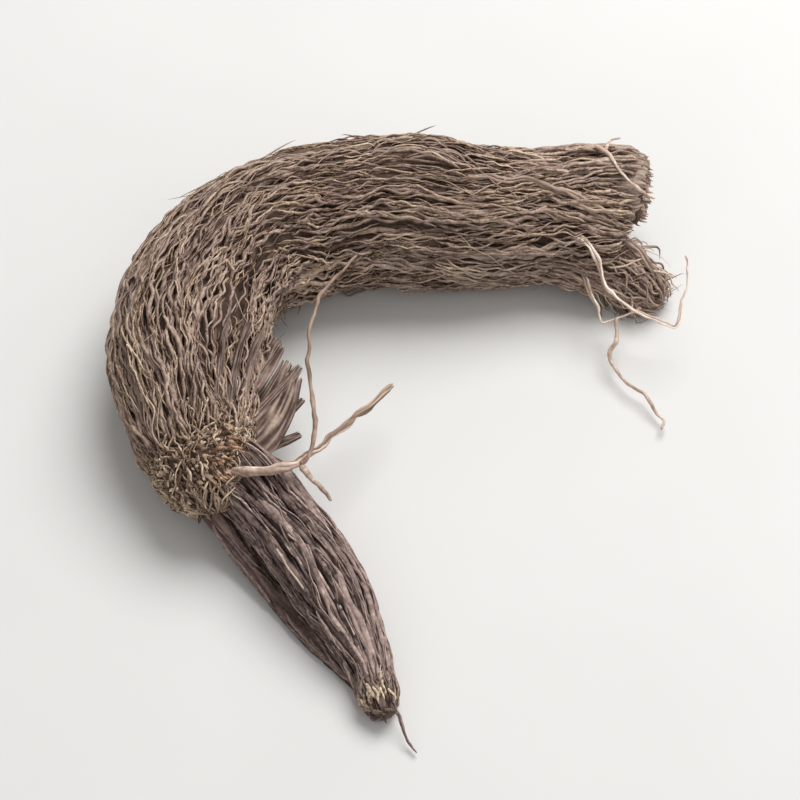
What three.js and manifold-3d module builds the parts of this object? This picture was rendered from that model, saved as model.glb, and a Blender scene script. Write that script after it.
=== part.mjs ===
// A dried valerian root: one hooked rootstock in its felted sheath of old leaf fibres, the grainy crown
// at its bare end, and the ridged taproot that leaves the crown and lies back under the hook.
// The plant grew all of it as one piece, so it is one solid. Millimetres, +Z up. The root lies on the
// plane z = 0, and the origin is the middle of its footprint.

import * as THREE from 'three';
import { mergeVertices } from 'three/addons/utils/BufferGeometryUtils.js';
import Module from 'manifold-3d';

// ---- Driving dimensions -------------------------------------------------------------------------

// How far the round limbs are pressed flat where they lie on the ground.
const SOLE_DEPTH = 0.3;
const ROOT_COLOUR = 0x6a5648;
const ROOT_ROUGHNESS = 0.95;

// Each limb is a list of stations along its middle line: [x, y, height of the underside, radius].
const SHEATH = {
  stations: [
    [20.4, 21.6, 0.1, 4.7],
    [17.6, 21.5, 0.0, 5.3],
    [13.0, 21.5, 0.0, 5.6],
    [7.6, 21.3, 0.0, 6.2],
    [2.0, 21.4, 0.0, 6.6],
    [-3.6, 21.3, 0.0, 6.5],
    [-9.0, 20.2, 0.0, 6.4],
    [-13.8, 17.3, 0.0, 6.4],
    [-16.9, 12.8, 0.0, 6.4],
    [-18.2, 7.6, 0.0, 6.5],
    [-18.3, 2.9, 0.2, 6.1],
    [-17.8, -0.9, 0.7, 5.4],
    [-17.2, -3.6, 1.1, 4.8],
    [-16.8, -5.2, 1.3, 4.4],
  ],
  sides: 28,
  rings: 46,
  flutes: 6,
  fluteDepth: 0.045,
  twist: 0.05,
  domes: [0.45, 0.8],
};

const CROWN = { centre: [-16.2, -5.9, 5.2], radius: 4.5, grains: 7, grainDepth: 0.35 };

const TAPROOT = {
  stations: [
    [-15.0, -5.8, 2.3, 3.3],
    [-12.4, -7.6, 1.9, 3.2],
    [-9.8, -10.4, 1.3, 3.1],
    [-7.4, -13.8, 0.7, 3.2],
    [-5.4, -17.0, 0.4, 3.0],
    [-3.8, -19.9, 0.2, 2.5],
    [-2.6, -22.4, 0.0, 2.0],
    [-1.9, -24.9, 0.0, 1.7],
    [-1.4, -27.2, 0.0, 1.6],
  ],
  sides: 20,
  rings: 28,
  flutes: 5,
  fluteDepth: 0.07,
  twist: 0.03,
  domes: [0.5, 0.25],
};

// A thin branch that runs down the near side of the taproot.
const SIDE_STRAND = {
  stations: [
    [-16.0, -8.9, 2.6, 1.2],
    [-13.4, -12.2, 1.0, 1.1],
    [-10.6, -16.0, 0.1, 1.0],
    [-7.6, -19.8, 0.0, 0.9],
    [-4.6, -22.9, 0.0, 0.7],
    [-3.0, -24.6, 0.0, 0.6],
  ],
  sides: 8,
  rings: 14,
  domes: [1, 1],
};

// The shoot end: a blunt bud above, and a frayed bundle of leaf fibres that droops below it.
const SHOOT_BUD = {
  stations: [
    [11.0, 22.6, 3.4, 3.9],
    [15.5, 23.2, 3.9, 3.7],
    [19.2, 23.4, 4.3, 3.4],
    [21.4, 23.2, 4.5, 3.1],
  ],
  sides: 20,
  rings: 10,
  flutes: 5,
  fluteDepth: 0.05,
  twist: 0.1,
  domes: [0.8, 0.35],
};
const FRAYED_BUNDLE = {
  stations: [
    [14.0, 18.9, 1.4, 3.2],
    [18.0, 17.9, 0.8, 2.9],
    [21.4, 16.6, 0.2, 2.2],
    [24.0, 14.8, 0.0, 1.2],
  ],
  sides: 16,
  rings: 12,
  flutes: 4,
  fluteDepth: 0.08,
  twist: 0.1,
  domes: [0.8, 1],
};

// Flat old leaf bases that fan out of the neck on the inner side of the hook.
const LEAF_BASES = [
  { foot: [-14.6, -2.6], tip: [-11.2, 5.6], height: 5.4, rise: 1.2, halfWidth: 1.3, halfThickness: 0.55 },
  { foot: [-13.8, -3.2], tip: [-8.6, 3.9], height: 4.6, rise: 0.9, halfWidth: 1.2, halfThickness: 0.5 },
  { foot: [-13.2, -4.0], tip: [-7.2, 1.4], height: 3.7, rise: 0.5, halfWidth: 1.1, halfThickness: 0.5 },
];

// One stout rootlet that leaves the crown over the top of the taproot.
const COLLAR_ROOTLET = {
  stations: [
    [-15.6, -5.6, 6.9, 0.9],
    [-13.2, -6.2, 7.1, 0.75],
    [-10.6, -6.2, 7.0, 0.65],
    [-8.4, -5.2, 6.4, 0.55],
    [-7.0, -3.6, 5.6, 0.4],
  ],
  sides: 8,
  rings: 12,
  domes: [1, 1],
};

// ---- Solids -------------------------------------------------------------------------------------

const wasm = await Module();
wasm.setup();

/** Turns a closed geometry into a solid that can be joined and cut. */
function solidOf(geometry) {
  geometry.deleteAttribute('normal');
  geometry.deleteAttribute('uv');
  const merged = mergeVertices(geometry, 1e-5);
  return new wasm.Manifold(
    new wasm.Mesh({
      numProp: 3,
      vertProperties: new Float32Array(merged.attributes.position.array),
      triVerts: new Uint32Array(merged.index.array),
    }),
  );
}

/** Turns a solid back into a geometry. */
function geometryOf(solid) {
  const mesh = solid.getMesh();
  const geometry = new THREE.BufferGeometry();
  geometry.setAttribute('position', new THREE.BufferAttribute(new Float32Array(mesh.vertProperties), 3));
  geometry.setIndex(new THREE.BufferAttribute(new Uint32Array(mesh.triVerts), 1));
  geometry.computeVertexNormals();
  return geometry;
}

/** Rings of equal length, closed by a pole at each end, as one indexed geometry. */
function skinOf(rings, firstPole, lastPole) {
  const sides = rings[0].length;
  const points = [firstPole, ...rings.flat(), lastPole];
  const last = points.length - 1;
  const at = (ring, side) => 1 + ring * sides + (side % sides);
  const index = [];
  for (let side = 0; side < sides; side++) {
    index.push(0, at(0, side + 1), at(0, side));
    index.push(last, at(rings.length - 1, side), at(rings.length - 1, side + 1));
  }
  for (let ring = 0; ring + 1 < rings.length; ring++) {
    for (let side = 0; side < sides; side++) {
      const a = at(ring, side);
      const b = at(ring, side + 1);
      const c = at(ring + 1, side);
      const d = at(ring + 1, side + 1);
      index.push(a, b, d, a, d, c);
    }
  }
  const geometry = new THREE.BufferGeometry().setFromPoints(points);
  geometry.setIndex(index);
  return geometry;
}

/**
 * A fluted round limb that follows its stations, with a low dome at each end.
 * fluteDepth and domes are shares of the local radius, and twist is in radians for each millimetre.
 */
function limb({ stations, sides, rings, flutes = 0, fluteDepth = 0, twist = 0, domes }) {
  const middle = new THREE.CatmullRomCurve3(
    stations.map(([x, y, underside, radius]) => new THREE.Vector3(x, y, underside + radius - SOLE_DEPTH)),
  );
  const girth = new THREE.CatmullRomCurve3(
    stations.map(([, , , radius]) => new THREE.Vector3(radius, 0, 0)),
    false,
    'catmullrom',
  );
  const frames = middle.computeFrenetFrames(rings);
  const length = middle.getLength();

  const ringAt = (step, scale, push) => {
    const along = step / rings;
    const centre = middle.getPointAt(along).addScaledVector(frames.tangents[step], push);
    const radius = girth.getPoint(middle.getUtoTmapping(along)).x;
    return Array.from({ length: sides }, (_, side) => {
      const turn = (2 * Math.PI * side) / sides;
      const flute = fluteDepth * Math.sin(flutes * (turn + twist * along * length));
      const reach = radius * (1 + flute) * scale;
      return centre
        .clone()
        .addScaledVector(frames.normals[step], reach * Math.cos(turn))
        .addScaledVector(frames.binormals[step], reach * Math.sin(turn));
    });
  };

  // A dome is two rings and a pole on an ellipse over the limb's last section.
  const DOME_ANGLES = [Math.PI / 6, Math.PI / 3];
  const dome = (step, flatness, sign) => {
    const radius = girth.getPoint(step === 0 ? 0 : 1).x;
    const heights = DOME_ANGLES.map((angle) => sign * radius * flatness * Math.sin(angle));
    return {
      rings: DOME_ANGLES.map((angle, i) => ringAt(step, Math.cos(angle), heights[i])),
      pole: middle
        .getPointAt(step / rings)
        .addScaledVector(frames.tangents[step], sign * radius * flatness),
    };
  };

  const start = dome(0, domes[0], -1);
  const end = dome(rings, domes[1], 1);
  const body = Array.from({ length: rings + 1 }, (_, step) => ringAt(step, 1, 0));
  return skinOf([...start.rings.reverse(), ...body, ...end.rings], start.pole, end.pole);
}

/** The knobbly crown: a ball whose radius rises and falls in small grains. */
function crownKnob({ centre, radius, grains, grainDepth }) {
  const ball = new THREE.SphereGeometry(radius, 26, 18);
  const position = ball.attributes.position;
  const point = new THREE.Vector3();
  for (let i = 0; i < position.count; i++) {
    point.fromBufferAttribute(position, i).divideScalar(radius);
    const grain =
      Math.sin(grains * point.x + 1) * Math.sin(grains * point.y + 2) * Math.sin(grains * point.z + 3);
    point.multiplyScalar(radius + grainDepth * grain);
    position.setXYZ(i, point.x, point.y, point.z);
  }
  ball.translate(...centre);
  return ball;
}

/** A flat tapering leaf base that leans from its foot on the neck out to its tip. */
function leafBase({ foot, tip, height, rise, halfWidth, halfThickness }) {
  const strip = new THREE.SphereGeometry(1, 12, 10);
  const along = new THREE.Vector3(tip[0] - foot[0], tip[1] - foot[1], rise);
  const length = along.length();
  strip.scale(length / 2, halfWidth, halfThickness);
  const turn = new THREE.Quaternion().setFromUnitVectors(new THREE.Vector3(1, 0, 0), along.normalize());
  strip.applyQuaternion(turn);
  strip.translate((foot[0] + tip[0]) / 2, (foot[1] + tip[1]) / 2, height + rise / 2);
  return strip;
}

/** Everything below the ground plane, taken off to leave the flats that the root rests on. */
function ground() {
  const slab = new THREE.BoxGeometry(90, 90, 20);
  slab.translate(0, 0, -10);
  return slab;
}

// ---- The part -----------------------------------------------------------------------------------

const pieces = [
  limb(SHEATH),
  crownKnob(CROWN),
  limb(TAPROOT),
  limb(SIDE_STRAND),
  limb(SHOOT_BUD),
  limb(FRAYED_BUNDLE),
  ...LEAF_BASES.map(leafBase),
  limb(COLLAR_ROOTLET),
];
const joined = pieces.map(solidOf).reduce((root, piece) => root.add(piece));
const resting = joined.subtract(solidOf(ground()));

const root = new THREE.Mesh(
  geometryOf(resting),
  new THREE.MeshStandardMaterial({ color: ROOT_COLOUR, roughness: ROOT_ROUGHNESS, metalness: 0 }),
);
root.name = 'valerian_root';

const part = new THREE.Group();
part.add(root);

export default part;
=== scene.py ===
"""A dried valerian root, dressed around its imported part.

The root lies on its side. A hooked rootstock wears a felted sheath of old leaf fibres, which frays at the
shoot end. At the other end the sheath gathers into a grainy crown, and a ridged taproot leaves the crown and
lies back under the hook. Flat old leaf bases fan out of the neck, and wiry rootlets trail from both ends.

Stations, wires and ribbons are in millimetres in the row frame. Everything else is in metres.
"""

from __future__ import annotations

import logging
import math
from dataclasses import dataclass, field, fields, replace
from enum import Enum
from functools import cache, partial
from typing import Callable, Sequence

import bmesh
import bpy
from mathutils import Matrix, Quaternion, Vector, noise

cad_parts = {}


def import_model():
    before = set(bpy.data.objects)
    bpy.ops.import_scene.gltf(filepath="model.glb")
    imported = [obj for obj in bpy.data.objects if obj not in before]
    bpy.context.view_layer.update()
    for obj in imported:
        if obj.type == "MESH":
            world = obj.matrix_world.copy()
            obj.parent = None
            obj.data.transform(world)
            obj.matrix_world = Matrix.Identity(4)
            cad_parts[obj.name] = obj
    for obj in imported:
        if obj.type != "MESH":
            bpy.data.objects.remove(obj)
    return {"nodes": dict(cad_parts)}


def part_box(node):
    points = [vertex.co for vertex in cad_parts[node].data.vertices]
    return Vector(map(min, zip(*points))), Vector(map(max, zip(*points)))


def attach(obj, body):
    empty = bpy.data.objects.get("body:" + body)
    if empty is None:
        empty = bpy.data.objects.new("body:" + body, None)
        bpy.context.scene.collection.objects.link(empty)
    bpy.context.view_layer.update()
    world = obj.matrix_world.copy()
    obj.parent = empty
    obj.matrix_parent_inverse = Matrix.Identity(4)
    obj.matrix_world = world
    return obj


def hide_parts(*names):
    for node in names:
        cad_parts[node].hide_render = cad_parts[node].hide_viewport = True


LOG = logging.getLogger("valerian_root")

MM = 0.001
ROOT_NODE = "valerian_root"
ROOT_BODY = "root"
SOLE_DEPTH = 0.3  # how far a limb is pressed flat on the ground, in millimetres
BAKE_MAP = "OFBake"  # its first number is a tube's tone and its second is the place along the tube
ROUND_STEP = 0.03  # how much the map's tone grows once round a tube, so that the map has some width
TONE_LOW, TONE_HIGH = 0.02, 0.95
KINK_SEED = 7  # without a seed of its own, noise_vector differs from run to run
TAU = 2 * math.pi
TINY = 1e-9
UP = Vector((0, 0, 1))

Colour = tuple[float, float, float, float]
Place = tuple[float, float, float]
Feed = object  # a socket to link, or a plain value to set
Relief = Callable[[float, float], float]
Spot = Callable[[float, float, int], tuple[Vector, float]]


def pigment(red: int, green: int, blue: int) -> Colour:
    """Turn a colour as it is seen, 0 to 255 a channel, into the linear one that shaders use.

    Args:
        red: Red channel.
        green: Green channel.
        blue: Blue channel.

    Returns:
        The linear colour, with full alpha.
    """

    def linear(channel: int) -> float:
        """Undo the display curve of one channel."""
        share = channel / 255
        return share / 12.92 if share <= 0.04045 else ((share + 0.055) / 1.055) ** 2.4

    return (linear(red), linear(green), linear(blue), 1.0)


def hues(*channels: tuple[int, int, int]) -> tuple[Colour, ...]:
    """Return several pigments."""
    return tuple(pigment(*each) for each in channels)


# ---- Node wiring ---------------------------------------------------------------------------------


def new_tree(name: str, kind: str, takes: dict[str, str], gives: dict[str, str]) -> bpy.types.NodeTree:
    """Make an empty node group with its sockets.

    Args:
        name: The group's name.
        kind: The type of its tree.
        takes: Its inputs, each with the kind of value it takes.
        gives: Its outputs, in the same way.

    Returns:
        The group.
    """
    tree = bpy.data.node_groups.new(name, kind)
    for way, sockets in (("INPUT", takes), ("OUTPUT", gives)):
        for label, value in sockets.items():
            tree.interface.new_socket(label, in_out=way, socket_type=f"NodeSocket{value}")
    return tree


class Wiring:
    """Adds nodes to one tree and links them, a step at a time."""

    def __init__(self, tree: bpy.types.NodeTree) -> None:
        """Start on a tree.

        Args:
            tree: The shader or geometry tree to fill.
        """
        self.tree = tree

    def node(
        self, kind: str, feeds: dict[int | str, Feed] | None = None, **settings: object
    ) -> bpy.types.Node:
        """Add one node.

        Args:
            kind: The node's type name.
            feeds: What goes into its inputs, by name or number: output sockets to link or plain values.
            **settings: Properties to set before anything is linked.

        Returns:
            The new node.
        """
        made = self.tree.nodes.new(kind)
        for key, value in settings.items():
            setattr(made, key, value)
        for key, value in (feeds or {}).items():
            if isinstance(value, bpy.types.NodeSocket):
                self.tree.links.new(value, made.inputs[key])
            else:
                made.inputs[key].default_value = value
        return made

    def first(self, kind: str, feeds: dict[int | str, Feed] | None = None, **settings: object) -> Feed:
        """Add one node and return its first output."""
        return self.node(kind, feeds, **settings).outputs[0]

    def maths(self, operation: str, *values: Feed) -> Feed:
        """Return the result of a Math node."""
        return self.first("ShaderNodeMath", dict(enumerate(values)), operation=operation)

    def sum(self, total: Feed, *others: Feed) -> Feed:
        """Return the sum of two or more values."""
        for other in others:
            total = self.maths("ADD", total, other)
        return total

    def product(self, total: Feed, *others: Feed) -> Feed:
        """Return the product of two or more values."""
        for other in others:
            total = self.maths("MULTIPLY", total, other)
        return total

    def vectors(self, operation: str, *values: Feed) -> Feed:
        """Return the vector result of a Vector Math node."""
        return self.first("ShaderNodeVectorMath", dict(enumerate(values)), operation=operation)

    def scaled(self, vector: Feed, factor: Feed) -> Feed:
        """Return a vector times a number."""
        return self.first("ShaderNodeVectorMath", {0: vector, "Scale": factor}, operation="SCALE")

    def combined(self, x: Feed, y: Feed, z: Feed = 0.0) -> Feed:
        """Return a vector made of three values."""
        return self.first("ShaderNodeCombineXYZ", {0: x, 1: y, 2: z})

    def parted(self, vector: Feed) -> tuple[Feed, ...]:
        """Return the three values of a vector."""
        return tuple(self.node("ShaderNodeSeparateXYZ", {0: vector}).outputs)

    def noise(self, vector: Feed, scale: Feed = 1.0, detail: float = 0.0) -> Feed:
        """Return smooth noise from about 0 to 1, with its mean at a half."""
        return self.first("ShaderNodeTexNoise", {"Vector": vector, "Scale": scale, "Detail": detail})

    def swing(self, vector: Feed, detail: float = 0.0) -> Feed:
        """Return smooth noise from about -1 to 1, with its mean at 0."""
        return self.maths("MULTIPLY_ADD", self.noise(vector, 1.0, detail), 2.0, -1.0)

    def ramp(self, value: Feed, stops: Sequence[tuple[float, Colour]]) -> Feed:
        """Return a colour picked from a ramp.

        Args:
            value: Where on the ramp, 0 to 1.
            stops: Places and colours, in order.

        Returns:
            The colour socket.
        """
        made = self.node("ShaderNodeValToRGB", {0: value})
        elements = made.color_ramp.elements
        elements[0].position, elements[0].color = stops[0]
        elements[1].position, elements[1].color = stops[-1]
        for place, colour in stops[1:-1]:
            elements.new(place).color = colour
        return made.outputs[0]

    def toned(self, tone: Feed) -> Feed:
        """Return a tone kept off both ends of the ramp."""
        return self.maths("MINIMUM", self.maths("MAXIMUM", tone, TONE_LOW), TONE_HIGH)

    def stored(
        self, geometry: Feed, name: str, value: Feed, kind: str = "FLOAT", domain: str = "POINT"
    ) -> Feed:
        """Store a value on a geometry under a name and return the geometry."""
        feeds = {"Geometry": geometry, "Name": name, "Value": value}
        return self.first("GeometryNodeStoreNamedAttribute", feeds, data_type=kind, domain=domain)

    def named(self, name: str) -> Feed:
        """Return a stored value."""
        return self.first("GeometryNodeInputNamedAttribute", {"Name": name}, data_type="FLOAT")


# ---- Finishes ------------------------------------------------------------------------------------


class Effects:
    """Shader node groups that more than one finish uses."""

    @staticmethod
    @cache
    def soil_mottle() -> bpy.types.NodeTree:
        """Build a group that gives soft blotches of soil over a surface.

        Returns:
            The group. Its Mask runs from 0, clean, to 1, soiled.
        """
        takes = {"Place": "Vector", "Blotches": "Float", "Reach": "Float"}
        group = new_tree("Soil mottle", "ShaderNodeTree", takes, {"Mask": "Float"})
        w = Wiring(group)
        place, blotches, reach = w.node("NodeGroupInput").outputs[:3]
        broad = w.noise(place, blotches, 3.0)
        fine = w.noise(place, w.product(blotches, 5.0), 2.0)
        both = w.sum(w.product(broad, 0.7), w.product(fine, 0.3))
        low = w.maths("SUBTRACT", 0.62, reach)
        feeds = {"Value": both, "From Min": low, "From Max": w.sum(low, 0.16)}
        mask = w.first("ShaderNodeMapRange", feeds, interpolation_type="SMOOTHSTEP")
        w.node("NodeGroupOutput", {0: mask})
        return group

    @staticmethod
    @cache
    def length_flecks() -> bpy.types.NodeTree:
        """Build a group that varies a strand along its length.

        Returns:
            The group. Its Shift is added to the strand's tone.
        """
        takes = {"Strand": "Vector", "Strength": "Float"}
        group = new_tree("Length flecks", "ShaderNodeTree", takes, {"Shift": "Float"})
        w = Wiring(group)
        strand, strength = w.node("NodeGroupInput").outputs[:2]
        across, along, _ = w.parted(strand)
        broad = w.swing(w.combined(w.product(across, 60.0), w.product(along, 9.0)))
        fine = w.swing(w.combined(w.product(across, 90.0), w.product(along, 34.0), 4.0))
        w.node("NodeGroupOutput", {0: w.product(w.sum(broad, w.product(fine, 0.7)), strength)})
        return group


@dataclass(frozen=True)
class Finish:
    """A matt plant surface, from its darkest colour, which also paints shade into its deepest gaps, to that
    of its palest flecks.
    """

    name: str
    main: tuple[Colour, ...]  # evenly spaced, dark to pale
    between: tuple[tuple[float, Colour], ...] = ()
    roughness: float = 0.8

    def stops(self) -> list[tuple[float, Colour]]:
        """Return the finish's colour ramp, with any hues that come between its main ones."""
        last = len(self.main) - 1
        return sorted([*((i / last, hue) for i, hue in enumerate(self.main)), *self.between])

    def start(self) -> tuple[bpy.types.Material, Wiring]:
        """Return an empty material and the wiring of its tree."""
        material = bpy.data.materials.new(self.name)
        material.use_nodes = True
        material.node_tree.nodes.clear()
        return material, Wiring(material.node_tree)

    def shade(self, w: Wiring, tone: Feed, feeds: dict[int | str, Feed] | None = None) -> None:
        """Add the shader and the output.

        Args:
            w: The wiring of the material's tree.
            tone: Where on the finish's ramp each place is, 0 to 1.
            feeds: What else goes into the shader.
        """
        feeds = {"Roughness": self.roughness, "Specular IOR Level": 0.3, **(feeds or {})}
        feeds["Base Color"] = w.ramp(tone, self.stops())
        w.node("ShaderNodeOutputMaterial", {"Surface": w.first("ShaderNodeBsdfPrincipled", feeds)})


@dataclass(frozen=True)
class StrandFinish(Finish):
    """A fibre whose tone and place along its length are on its own map."""

    flecks: float = 0.3

    def material(self) -> bpy.types.Material:
        """Return the finished material."""
        material, w = self.start()
        strand = w.first("ShaderNodeUVMap", uv_map=BAKE_MAP)
        fleck = w.node("ShaderNodeGroup", node_tree=Effects.length_flecks())
        w.tree.links.new(strand, fleck.inputs["Strand"])
        fleck.inputs["Strength"].default_value = self.flecks
        self.shade(w, w.sum(w.parted(strand)[0], fleck.outputs["Shift"]))
        return material


@dataclass(frozen=True)
class BarkFinish(Finish):
    """A ridged skin: its Height attribute is 0 in the grooves and 1 on the ridges, and paints shade into the
    grooves.
    """

    blotches: float = 260.0
    grain: float = 2600.0
    grain_depth: float = 0.00008

    def material(self) -> bpy.types.Material:
        """Return the finished material."""
        material, w = self.start()
        place = w.node("ShaderNodeTexCoord").outputs["Object"]
        height = w.node("ShaderNodeAttribute", attribute_name="Height").outputs["Fac"]
        mottle = w.node("ShaderNodeGroup", node_tree=Effects.soil_mottle())
        w.tree.links.new(place, mottle.inputs["Place"])
        mottle.inputs["Blotches"].default_value = self.blotches
        mottle.inputs["Reach"].default_value = 0.1
        grain = w.noise(place, self.grain, 3.0)
        soil = w.product(mottle.outputs["Mask"], -0.16)
        # Painted shade: the Height makes the grooves darker and the ridges paler.
        tone = w.sum(w.product(height, 0.75), w.product(grain, 0.4), soil, -0.1)
        feeds = {"Height": grain, "Distance": self.grain_depth, "Strength": 0.6}
        self.shade(w, tone, {"Normal": w.first("ShaderNodeBump", feeds)})
        return material


@dataclass(frozen=True)
class PaperFinish(Finish):
    """The plain pale ground that the root lies on."""

    def material(self) -> bpy.types.Material:
        """Return the finished material."""
        material, w = self.start()
        self.shade(w, w.noise(w.node("ShaderNodeTexCoord").outputs["Object"], 40.0, 2.0))
        return material


SHEATH_FIBRE = StrandFinish(
    "Sheath fibre", hues((92, 70, 59), (134, 110, 98), (174, 149, 134), (198, 178, 163), (223, 205, 188)),
    between=(
        (0.36, pigment(156, 138, 130)), (0.43, pigment(160, 134, 115)), (0.58, pigment(179, 160, 150)),
        (0.66, pigment(193, 167, 139)), (0.84, pigment(214, 191, 166)),
    ),
    flecks=0.34,
)
GOLDEN_FIBRE = StrandFinish(
    "Golden fibre", hues((70, 52, 38), (124, 100, 78), (176, 151, 128), (214, 192, 167), (236, 217, 192)),
    flecks=0.36,
)
# The rootstock under the fibres, partly its own dark colour and partly painted shade for the gaps between
# the fibres.
UNDER_FELT_GAP_SHADE = BarkFinish(
    "Under felt", hues((62, 47, 39), (88, 70, 60), (114, 94, 82), (138, 117, 104), (160, 138, 122)),
)
TAPROOT_BARK = BarkFinish(
    "Taproot bark", hues((31, 23, 20), (66, 51, 47), (102, 82, 77), (136, 116, 109), (170, 149, 140)),
)
TAPROOT_FIBRE = StrandFinish(
    "Taproot fibre", hues((51, 39, 36), (96, 80, 75), (138, 117, 111), (175, 153, 144), (215, 195, 181)),
)
LEAF_BASE = BarkFinish(
    "Leaf base", hues((43, 31, 27), (85, 67, 60), (124, 104, 95), (156, 136, 123), (200, 177, 153)),
)
PAPERY_SCALE = BarkFinish(
    "Papery scale", hues((66, 51, 43), (110, 91, 79), (150, 130, 116), (186, 168, 153), (222, 206, 190)),
)
KNOB_GRAIN = StrandFinish(
    "Knob grain", hues((70, 52, 42), (118, 98, 84), (164, 144, 128), (204, 185, 166), (240, 226, 204)),
    between=((0.34, pigment(140, 104, 78)), (0.42, pigment(146, 130, 118)), (0.63, pigment(190, 158, 124))),
)
RUST_GRAIN = StrandFinish(
    "Rust grain", hues((66, 44, 34), (112, 79, 60), (154, 114, 89), (188, 152, 125), (218, 192, 164)),
)
TIP_RIM = StrandFinish(
    "Torn tip", hues((76, 60, 50), (124, 105, 92), (162, 142, 124), (204, 184, 158), (238, 224, 192)),
    flecks=0.36,
)
ROOTLET_SKIN = StrandFinish(
    "Rootlet skin", hues((89, 67, 55), (131, 108, 93), (176, 151, 134), (213, 190, 174), (250, 236, 221)),
)
GROUND = PaperFinish(
    "Pale ground",
    hues((214, 213, 211), (217, 216, 214), (219, 218, 216), (221, 220, 218), (224, 223, 221)),
    roughness=0.9,
)


# ---- Limbs ---------------------------------------------------------------------------------------


@dataclass(frozen=True)
class Station:
    """One place on a limb's middle line, in millimetres: its x and y, its underside and its radius."""

    x: float
    y: float
    under: float
    girth: float

    def centre(self) -> Vector:
        """Return the middle of the limb here, in metres."""
        return Vector((self.x, self.y, self.under + self.girth - SOLE_DEPTH)) * MM


def eased(values: Sequence[Vector], span: int, share: float) -> Vector:
    """Place a point on a smooth curve through a list of points.

    Args:
        values: The points.
        span: Which gap between points, counted from 0.
        share: How far across that gap, 0 to 1.

    Returns:
        The point on a Catmull-Rom curve.
    """
    last = len(values) - 1
    before, start = values[max(span - 1, 0)], values[span]
    end, after = values[min(span + 1, last)], values[min(span + 2, last)]
    square, cube = share * share, share**3
    return 0.5 * (
        2 * start
        + (end - before) * share
        + (2 * before - 5 * start + 4 * end - after) * square
        + (3 * start - before - 3 * end + after) * cube
    )


class GuideLine:
    """A limb's smooth middle line, with its radius at every step."""

    def __init__(self, rows: Sequence[Vector], steps: int = 10) -> None:
        """Draw the line.

        Args:
            rows: Points in metres, each with the limb's radius as its fourth number.
            steps: Steps from one row to the next.
        """
        drawn = [eased(rows, span, i / steps) for span in range(len(rows) - 1) for i in range(steps)]
        drawn.append(rows[-1])
        self.points = [Vector(p[:3]) for p in drawn]
        self.girths = [p.w for p in drawn]
        self.reach = [0.0]
        for a, b in zip(self.points, self.points[1:]):
            self.reach.append(self.reach[-1] + (b - a).length)

    @classmethod
    def lying(cls, stations: Sequence[Station]) -> GuideLine:
        """Return the line of a limb that lies on the ground."""
        return cls([Vector((*s.centre(), s.girth * MM)) for s in stations])

    @property
    def length(self) -> float:
        """The line's length in metres."""
        return self.reach[-1]

    def headings(self) -> list[Vector]:
        """Return the direction of travel at each point."""
        ends = [self.points[0], *self.points, self.points[-1]]
        return [(after - before).normalized() for before, after in zip(ends, ends[2:])]

    def at(self, reach: float) -> tuple[Vector, Vector, float]:
        """Read the line at a distance from its start.

        Args:
            reach: The distance in metres.

        Returns:
            The point, the direction of travel and the limb's radius.
        """
        i = 0
        while i < len(self.reach) - 2 and self.reach[i + 1] < reach:
            i += 1
        share = (reach - self.reach[i]) / max(self.reach[i + 1] - self.reach[i], TINY)
        share = min(max(share, 0.0), 1.0)
        tangent = (self.points[i + 1] - self.points[i]).normalized()
        if 0 < i < len(self.points) - 2:
            ahead = (self.points[i + 2] - self.points[i + 1]).normalized()
            behind = (self.points[i] - self.points[i - 1]).normalized()
            tangent = (behind * (1 - share) + tangent + ahead * share).normalized()
        point = self.points[i].lerp(self.points[i + 1], share)
        return point, tangent, self.girths[i] * (1 - share) + self.girths[i + 1] * share

    def as_object(self, name: str) -> bpy.types.Object:
        """Return an object that holds the line as a chain of edges, with the radius as its Girth."""
        mesh = bpy.data.meshes.new(name)
        mesh.from_pydata(self.points, [(i, i + 1) for i in range(len(self.points) - 1)], [])
        mesh.attributes.new("Girth", "FLOAT", "POINT").data.foreach_set("value", self.girths)
        return linked(name, mesh)


def linked(name: str, mesh: bpy.types.Mesh) -> bpy.types.Object:
    """Put a mesh in the scene as an object at the origin."""
    made = bpy.data.objects.new(name, mesh)
    bpy.context.scene.collection.objects.link(made)
    return made


def dressed(
    name: str, mesh: bpy.types.Mesh, material: bpy.types.Material, heights: Sequence[float] | None = None
) -> bpy.types.Object:
    """Smooth a mesh and put it in the scene.

    Args:
        name: The piece's name.
        mesh: Its mesh.
        material: Its finish.
        heights: How high each point is, 0 to 1, to be kept as the Height attribute.

    Returns:
        The piece.
    """
    if heights:
        mesh.attributes.new("Height", "FLOAT", "POINT").data.foreach_set("value", heights)
    mesh.polygons.foreach_set("use_smooth", [True] * len(mesh.polygons))
    mesh.materials.append(material)
    mesh.update()
    return linked(name, mesh)


def around(tangent: Vector, turn: float) -> Vector:
    """Point outwards from a lying limb.

    Args:
        tangent: The limb's direction.
        turn: The angle round it, 0 at its left side and a quarter turn at its top.

    Returns:
        The unit direction.
    """
    side = UP.cross(tangent).normalized()
    up = tangent.cross(side).normalized()
    return math.cos(turn) * side + math.sin(turn) * up


CAP_RINGS = 6  # rings from a limb's end to the tip of its dome


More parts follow.
